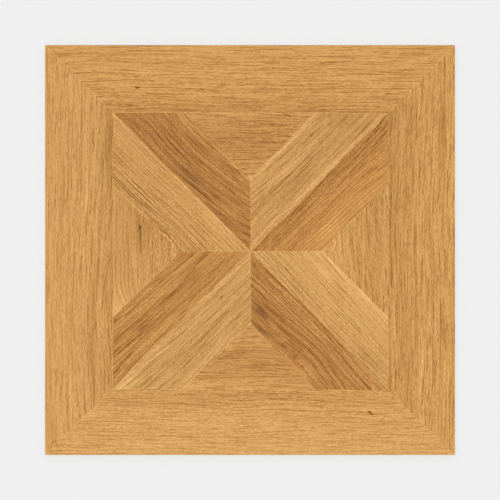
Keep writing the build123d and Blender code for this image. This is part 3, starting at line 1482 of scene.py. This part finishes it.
@dataclass(frozen=True)
class FiredBody:
    """The bare body of the tile: the ground sides and the keyed back.

    Attributes:
        half: Half the side of the tile.
        thickness: Rib tops to face.
        arris: Legs of the arris along the face edges.
        keys: Key pockets in a row along a side.
        rim: Plain rim between the pockets and a side.
        rib: Width of the rib between two pockets.
        key_depth: Bedding plane to pocket floor.
        key_radius: Plan corners of a pocket at the bedding plane.
        key_draft: Lean of the pocket walls, in degrees.
        arc_steps: Mesh steps round a quarter of a corner's arc, an even number.
    """

    half: float
    thickness: float
    arris: float = 0.6 * MM
    keys: int = 12
    rim: float = 15 * MM
    rib: float = 6 * MM
    key_depth: float = 0.8 * MM
    key_radius: float = 4 * MM
    key_draft: float = 30.0
    arc_steps: int = 4

    def pitch(self) -> float:
        """Centre to centre of neighbouring pockets."""
        return (2 * self.half - 2 * self.rim + self.rib) / self.keys

    def field(self) -> float:
        """Half the side of the field of pockets, to the middle of the ribs around it."""
        return self.keys * self.pitch() / 2

    def quarter_loop(self) -> np.ndarray:
        """Angles of the mesh points on a pocket's corner arc, from one flat to the next."""
        return np.linspace(0.0, math.pi / 2, self.arc_steps + 1)

    def flats(self) -> np.ndarray:
        """Shares along a pocket's straight edge, without its ends."""
        return np.array([-0.5, 0.0, 0.5])

    def pocket_loop(self, inset: float) -> np.ndarray:
        """Outline of a pocket, set in from its mouth: a square with rounded corners.

        One quarter is a straight edge on the right and the arc at its upper end. The other three
        are that quarter turned by right angles.

        Args:
            inset: Distance in from the mouth.

        Returns:
            The outline's points, anticlockwise seen from above, n by 2.
        """
        side = (self.pitch() - self.rib) / 2 - inset
        radius = self.key_radius - inset
        flat = side - radius
        angles = self.quarter_loop()
        straight = np.column_stack([np.full(3, side), self.flats() * flat])
        arc = flat + radius * np.column_stack([np.cos(angles), np.sin(angles)])
        return self.turned(np.concatenate([straight, arc]))

    def cell_loop(self) -> np.ndarray:
        """Outline of a pocket's square cell, with one point for each point of the pocket.

        Returns:
            Points of the outline, in the pocket's order.
        """
        side = self.pitch() / 2
        flat = side - self.rib / 2 - self.key_radius
        straight = np.column_stack([np.full(3, side), self.flats() * flat])
        shares = np.linspace(-1.0, 1.0, self.arc_steps + 1)
        corner = np.column_stack([
            side - np.maximum(shares, 0.0) * (side - flat),
            side + np.minimum(shares, 0.0) * (side - flat),
        ])
        return self.turned(np.concatenate([straight, corner]))

    @staticmethod
    def turned(quarter: np.ndarray) -> np.ndarray:
        """Repeat a quarter of an outline by right angles into the whole."""
        turn = np.array([[0.0, 1.0], [-1.0, 0.0]])
        return np.concatenate([quarter @ np.linalg.matrix_power(turn, k) for k in range(SIDES)])

    def edge_places(self) -> np.ndarray:
        """Mesh points along a side of the field of pockets.

        Returns:
            Places along the side, in order.
        """
        digits = 9
        loop = self.cell_loop()
        side = self.pitch() / 2
        cell = np.unique(np.round(loop[np.isclose(loop[:, 0], side), 1], digits))
        centres = (np.arange(self.keys) - (self.keys - 1) / 2) * self.pitch()
        return np.unique(np.round((centres[:, None] + cell).ravel(), digits))

    def back(self, slot: int, bake: BakeLayout) -> Patch:
        """Build the field of pockets: rings of points from each cell's edge to its pocket's floor.

        Args:
            slot: Number of the material slot.
            bake: Layout of the bake map.

        Returns:
            The back, without the rim.
        """
        draft = self.key_depth * math.tan(math.radians(self.key_draft))
        loops = [self.cell_loop(), self.pocket_loop(0.0), self.pocket_loop(draft), np.zeros((1, 2))]
        levels = [0.0, 0.0, self.key_depth, self.key_depth]
        cell = np.concatenate([np.column_stack([a, np.full(len(a), z)]) for a, z in zip(loops, levels)])
        around = len(loops[0])
        here = np.arange(around)
        there = (here + 1) % around
        rings = []
        for ring in range(2):
            near, far = ring * around, (ring + 1) * around
            rings.append(np.column_stack([near + here, far + here, far + there]))
            rings.append(np.column_stack([near + here, far + there, near + there]))
        floor = 2 * around
        middle = np.full(around, 3 * around)
        rings.append(np.column_stack([floor + there, floor + here, middle]))
        faces = np.concatenate(rings)

        centres = (np.arange(self.keys) - (self.keys - 1) / 2) * self.pitch()
        grid = np.stack(np.meshgrid(centres, centres), axis=-1).reshape(-1, 2)
        places = np.column_stack([grid, np.zeros(len(grid))])
        points = (places[:, None, :] + cell[None, :, :]).reshape(-1, 3)
        numbers = np.arange(len(grid))[:, None, None] * len(cell)
        all_faces = (faces[None, :, :] + numbers).reshape(-1, 3)
        bare = np.zeros((len(points), 2))
        baked = bake.on_back(points, self.field())
        return Patch(points, all_faces, slot, bare, bare, baked, bare[:, 0])

    def side(self, number: int, places: np.ndarray, slot: int, bake: BakeLayout) -> Patch:
        """Build one side: a profile from the pockets' field round the lower edge up to the arris.

        The profile's corners are the field's edge, the lower edge and the arris's foot. Each is
        carried along the side as a row of points, and neighbouring rows are stitched.

        Args:
            number: Which of the four sides, in quarter turns from the lower one.
            places: Mesh points along the arris's foot.
            slot: Number of the material slot.
            bake: Layout of the bake map.

        Returns:
            The side with its rim of the back.
        """
        rows = [self.edge_places(), places, places]
        insets = [self.half - self.field(), 0.0, 0.0]
        levels = [0.0, 0.0, self.thickness - self.arris]
        counts = [len(row) for row in rows]
        starts = np.concatenate([[0], np.cumsum(counts)[:-1]])
        faces = np.concatenate([
            stitch(rows[i], rows[i + 1], starts[i], starts[i + 1]) for i in range(len(rows) - 1)
        ])
        along = np.concatenate(rows)
        inset = np.repeat(insets, counts)
        level = np.repeat(levels, counts)
        angle = number * math.pi / 2
        ahead = np.array([math.cos(angle), math.sin(angle)])
        inward = np.array([-math.sin(angle), math.cos(angle)])
        flat = along[:, None] * ahead + (inset - self.half)[:, None] * inward
        points = np.column_stack([flat, level])
        lengths = np.hypot(np.diff(insets), np.diff(levels))
        travelled = np.concatenate([[0.0], np.cumsum(lengths)])
        up = np.repeat(travelled / travelled[-1], counts)
        place = bake.on_strip(number, (along + self.half) / (2 * self.half), up)
        bare = np.zeros((len(points), 2))
        return Patch(points, faces, slot, bare, bare, place, bare[:, 0])


@dataclass(frozen=True)
class FiredBodyFinish:
    """Bare fired porcelain: pale beige, finely mottled, with a dusting of kiln wash on the ribs.

    Attributes:
        tone: Colour of the body, linear.
        wash: Colour of the kiln wash, linear.
        mottle: Size of the cloudy mottling.
        speck: Size of the dark mineral specks.
        mottle_shade: Shade where the mottling is darkest.
        mottle_swing: How much lighter the rest is.
        speck_start: Height of the noise at which a dark speck starts.
        speck_full: Height at which it is darkest.
        speck_shade: How much darker a speck is.
        wash_top: Height on the back above which there is no kiln wash.
        wash_full: Height below which the wash is full.
        wash_start: Height of the mottling at which the wash starts.
        wash_dense: Height at which it covers the body.
        roughness: Roughness where the body is smoothest.
        roughness_swing: How much rougher the rest is.
        bump: Depth of its fine texture.
        speck_detail: Number of finer noises in the specks.
        mottle_detail: Number of finer noises in the mottling.
    """

    tone: Colour = (0.56, 0.47, 0.36)
    wash: Colour = (0.70, 0.66, 0.58)
    mottle: float = 9 * MM
    speck: float = 1.1 * MM
    mottle_shade: float = 0.92
    mottle_swing: float = 0.16
    speck_start: float = 0.68
    speck_full: float = 0.76
    speck_shade: float = 0.25
    wash_top: float = 0.25 * MM
    wash_full: float = 0.05 * MM
    wash_start: float = 0.35
    wash_dense: float = 0.65
    roughness: float = 0.66
    roughness_swing: float = 0.12
    bump: float = 0.03 * MM
    speck_detail: float = 2.0
    mottle_detail: float = 3.0

    def material(self) -> bpy.types.Material:
        """Make the material from noises on Object coordinates.

        Returns:
            The material.
        """
        material = bpy.data.materials.new("fired_body")
        material.use_nodes = True
        tree = material.node_tree
        sheet = NodeSheet(tree)
        shader = tree.nodes["Principled BSDF"]
        place = sheet.node("ShaderNodeTexCoord").outputs["Object"]

        def cloud(size: float, detail: float) -> Socket:
            """Noise in lumps of a size, from 0 to 1.

            Args:
                size: Size of a lump.
                detail: Number of finer noises that are added.

            Returns:
                The noise.
            """
            noise = sheet.node("ShaderNodeTexNoise", noise_dimensions="3D")
            sheet.feed(noise.inputs["Vector"], place)
            noise.inputs["Scale"].default_value = 1.0 / size
            noise.inputs["Detail"].default_value = detail
            return noise.outputs["Fac"]

        grit = cloud(self.speck, self.speck_detail)
        mottled = cloud(self.mottle, self.mottle_detail)
        level = sheet.node("ShaderNodeSeparateXYZ")
        sheet.feed(level.inputs["Vector"], place)
        low = sheet.ramp(level.outputs["Z"], self.wash_top, self.wash_full)
        dusted = sheet.maths("MULTIPLY", low, sheet.ramp(mottled, self.wash_start, self.wash_dense))
        body = sheet.node("ShaderNodeMix", data_type="RGBA")
        sheet.feed(body.inputs["Factor"], dusted)
        sheet.feed(body.inputs["A"], (*self.tone, 1.0))
        sheet.feed(body.inputs["B"], (*self.wash, 1.0))
        shade = sheet.maths("MULTIPLY_ADD", mottled, self.mottle_swing, self.mottle_shade)
        specks = sheet.ramp(grit, self.speck_start, self.speck_full)
        shade = sheet.maths("MULTIPLY_ADD", specks, -self.speck_shade, shade)
        scaled = sheet.node("ShaderNodeVectorMath", operation="SCALE")
        sheet.feed(scaled.inputs["Vector"], body.outputs["Result"])
        sheet.feed(scaled.inputs["Scale"], shade)
        sheet.feed(shader.inputs["Base Color"], scaled.outputs["Vector"])
        rough = sheet.maths("MULTIPLY_ADD", mottled, self.roughness_swing, self.roughness)
        sheet.feed(shader.inputs["Roughness"], rough)
        bump = sheet.node("ShaderNodeBump")
        bump.inputs["Distance"].default_value = self.bump
        sheet.feed(bump.inputs["Height"], grit)
        sheet.feed(shader.inputs["Normal"], bump.outputs["Normal"])
        return material


@dataclass(frozen=True)
class ParquetTile:
    """The whole tile: printed face, arris, sides and keyed back in one closed mesh.

    Attributes:
        side: Side of the tile.
        thickness: Rib tops to face.
        modules: Frame board widths that make up a side.
    """

    side: float
    thickness: float
    modules: int = 6

    def build(self) -> bpy.types.Object:
        """Build the mesh and dress it.

        Returns:
            The tile's object.
        """
        boards = parquet_boards()
        body = FiredBody(self.side / 2, self.thickness)
        half_face = self.side / 2 - body.arris
        face = PrintedFace(half_face, body.arris, self.thickness, self.side / self.modules, JOINT_PLAN)
        bake = BakeLayout()
        patches = [face.patch(board, slot, bake) for slot, board in enumerate(boards)]
        bare_slot = len(boards)
        patches.append(body.back(bare_slot, bake))
        arris_foot = face.rows(BoardShape.FRAME)[0]
        patches.extend(body.side(number, arris_foot, bare_slot, bake) for number in range(SIDES))
        tile = self.joined(patches)
        effects = OakEffects.build()
        for board in boards:
            tile.data.materials.append(OakPrint().material(board, face, effects))
        tile.data.materials.append(FiredBodyFinish().material())
        return tile

    @staticmethod
    def joined(patches: list[Patch]) -> bpy.types.Object:
        """Weld the patches into one closed mesh and write their maps on it.

        Points of neighbouring patches fall on the same place, so equal places become one point.

        Args:
            patches: The stretches of surface.

        Returns:
            The object, with its place in its mesh.
        """
        weld = 1e-6
        nudge = 0.271828
        points = np.concatenate([patch.points for patch in patches])
        firsts = np.concatenate([[0], np.cumsum([len(patch.points) for patch in patches])[:-1]])
        corners = np.concatenate([patch.faces + first for patch, first in zip(patches, firsts)])
        slots = np.concatenate([np.full(len(patch.faces), patch.slot) for patch in patches])
        keys = np.round(points / weld + nudge).astype(np.int64)
        _, kept, welded = np.unique(keys, axis=0, return_index=True, return_inverse=True)
        faces = welded.reshape(-1)[corners]

        mesh = bpy.data.meshes.new(TILE_PIECE)
        mesh.from_pydata(points[kept], [], faces)
        mesh.polygons.foreach_set("material_index", slots.astype(np.int32))
        mesh.polygons.foreach_set("use_smooth", np.ones(len(faces), bool))
        flat_corners = corners.ravel()
        maps = {
            GRAIN_MAP: [patch.grain for patch in patches],
            LAID_MAP: [patch.laid for patch in patches],
            BAKE_MAP: [patch.bake for patch in patches],
        }
        for name, parts in maps.items():
            layer = mesh.uv_layers.new(name=name)
            places = np.concatenate(parts)[flat_corners].astype(np.float32)
            layer.uv.foreach_set("vector", places.ravel())
        joint = np.concatenate([patch.joint for patch in patches])
        layer = mesh.attributes.new(JOINT_LAYER, "FLOAT", "CORNER")
        layer.data.foreach_set("value", joint[flat_corners].astype(np.float32))
        crease = math.radians(20.0)
        mesh.set_sharp_from_angle(angle=crease)
        mesh.update()
        tile = bpy.data.objects.new(TILE_PIECE, mesh)
        bpy.context.scene.collection.objects.link(tile)
        return tile


@dataclass(frozen=True)
class Studio:
    """Plain pale floor, soft light and a camera straight above the tile.

    Attributes:
        floor_colour: Grey of the floor and of the background, linear.
        floor_plain: Share of the floor that shows the camera its plain grey, without shadow.
        floor_half: Half the side of the floor.
        sky: Brightness of the light from all round.
        key: Share of the light that comes from the soft key lamp.
        key_tilt: Angle of the key lamp from straight above, in degrees.
        key_turn: Direction that the key lamp stands in, in degrees.
        key_spread: Angle that the key lamp spans, in degrees.
        lens: Focal length of the camera, in millimetres.
        tile_share: Share of the picture's width that the tile takes up.
    """

    floor_colour: float = 0.871
    floor_plain: float = 0.7
    floor_half: float = 30.0
    sky: float = 0.76
    key: float = 0.24
    key_tilt: float = 28.0
    key_turn: float = 125.0
    key_spread: float = 60.0
    lens: float = 100.0
    tile_share: float = 410.0 / 500

    def build(self, tile_side: float, face_level: float) -> None:
        """Set up the floor, the light and the camera.

        Args:
            tile_side: Side of the tile.
            face_level: Height of the printed face.
        """
        bpy.context.scene.view_settings.view_transform = "Standard"
        self.floor()
        self.world()
        self.key_lamp()
        self.camera(tile_side, face_level)

    def floor(self) -> bpy.types.Object:
        """Make the floor, one square at the level that the tile lies on.

        Returns:
            The floor.
        """
        half = self.floor_half
        corners = [(-half, -half, 0.0), (half, -half, 0.0), (half, half, 0.0), (-half, half, 0.0)]
        mesh = bpy.data.meshes.new("floor")
        mesh.from_pydata(corners, [], [(0, 1, 2, 3)])
        mesh.materials.append(self.floor_paint())
        floor = bpy.data.objects.new("floor", mesh)
        bpy.context.scene.collection.objects.link(floor)
        return floor

    def floor_paint(self) -> bpy.types.Material:
        """Make the floor's matt paint, which for the camera mostly shows its own grey.

        Returns:
            The material. The rest of what the camera sees is lit, so it keeps a soft shadow.
        """
        material = bpy.data.materials.new("floor_paint")
        material.use_nodes = True
        tree = material.node_tree
        sheet = NodeSheet(tree)
        grey = (*(self.floor_colour,) * 3, 1.0)
        paint = tree.nodes["Principled BSDF"]
        paint.inputs["Base Color"].default_value = grey
        paint.inputs["Roughness"].default_value = 1.0
        paint.inputs["Specular IOR Level"].default_value = 0.0
        plain = sheet.node("ShaderNodeEmission")
        plain.inputs["Color"].default_value = grey
        path = sheet.node("ShaderNodeLightPath").outputs
        seen = sheet.maths("MAXIMUM", path["Is Camera Ray"], path["Is Glossy Ray"])
        mixed = sheet.node("ShaderNodeMixShader")
        sheet.feed(mixed.inputs["Fac"], sheet.maths("MULTIPLY", seen, self.floor_plain))
        sheet.feed(mixed.inputs[1], paint.outputs["BSDF"])
        sheet.feed(mixed.inputs[2], plain.outputs["Emission"])
        sheet.feed(tree.nodes["Material Output"].inputs["Surface"], mixed.outputs["Shader"])
        return material

    def world(self) -> None:
        """Light the scene evenly from all round, and show the floor's grey behind it."""
        world = bpy.data.worlds.new("studio")
        world.use_nodes = True
        sheet = NodeSheet(world.node_tree)
        light = world.node_tree.nodes["Background"]
        seen = sheet.node("ShaderNodeLightPath").outputs["Is Camera Ray"]
        strength = sheet.maths("MULTIPLY_ADD", seen, self.floor_colour - self.sky, self.sky)
        light.inputs["Color"].default_value = (1.0, 1.0, 1.0, 1.0)
        sheet.feed(light.inputs["Strength"], strength)
        bpy.context.scene.world = world

    def key_lamp(self) -> None:
        """Add a broad lamp that lifts a level surface by the key's share of white."""
        tilt = math.radians(self.key_tilt)
        lamp = bpy.data.lights.new("key_lamp", "SUN")
        lamp.energy = self.key * math.pi / math.cos(tilt)
        lamp.angle = math.radians(self.key_spread)
        key = bpy.data.objects.new("key_lamp", lamp)
        key.rotation_euler = (tilt, 0.0, math.radians(self.key_turn) + math.pi / 2)
        bpy.context.scene.collection.objects.link(key)

    def camera(self, tile_side: float, face_level: float) -> None:
        """Hang the camera so that the tile takes up its share of the picture.

        Args:
            tile_side: Side of the tile.
            face_level: Height of its face.
        """
        lens = bpy.data.cameras.new("camera")
        lens.lens = self.lens
        camera = bpy.data.objects.new("camera", lens)
        view_width = tile_side / self.tile_share
        camera.location = (0.0, 0.0, face_level + view_width * lens.lens / lens.sensor_width)
        bpy.context.scene.collection.objects.link(camera)
        bpy.context.scene.camera = camera


def main() -> None:
    """Build the tile and the studio in order, and report each piece."""
    logging.basicConfig(level=logging.INFO)
    low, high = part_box(TILE_NODE)
    size = high - low
    tile = ParquetTile(size.x, size.z).build()
    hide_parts(TILE_NODE)
    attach(tile, TILE_BODY)
    mesh = tile.data
    LOG.info("%s: %d triangles, %d materials", tile.name, len(mesh.polygons), len(mesh.materials))
    Studio().build(size.x, high.z)
    LOG.info("studio: floor, key lamp, world and camera")


if __name__ == "__main__":
    main()
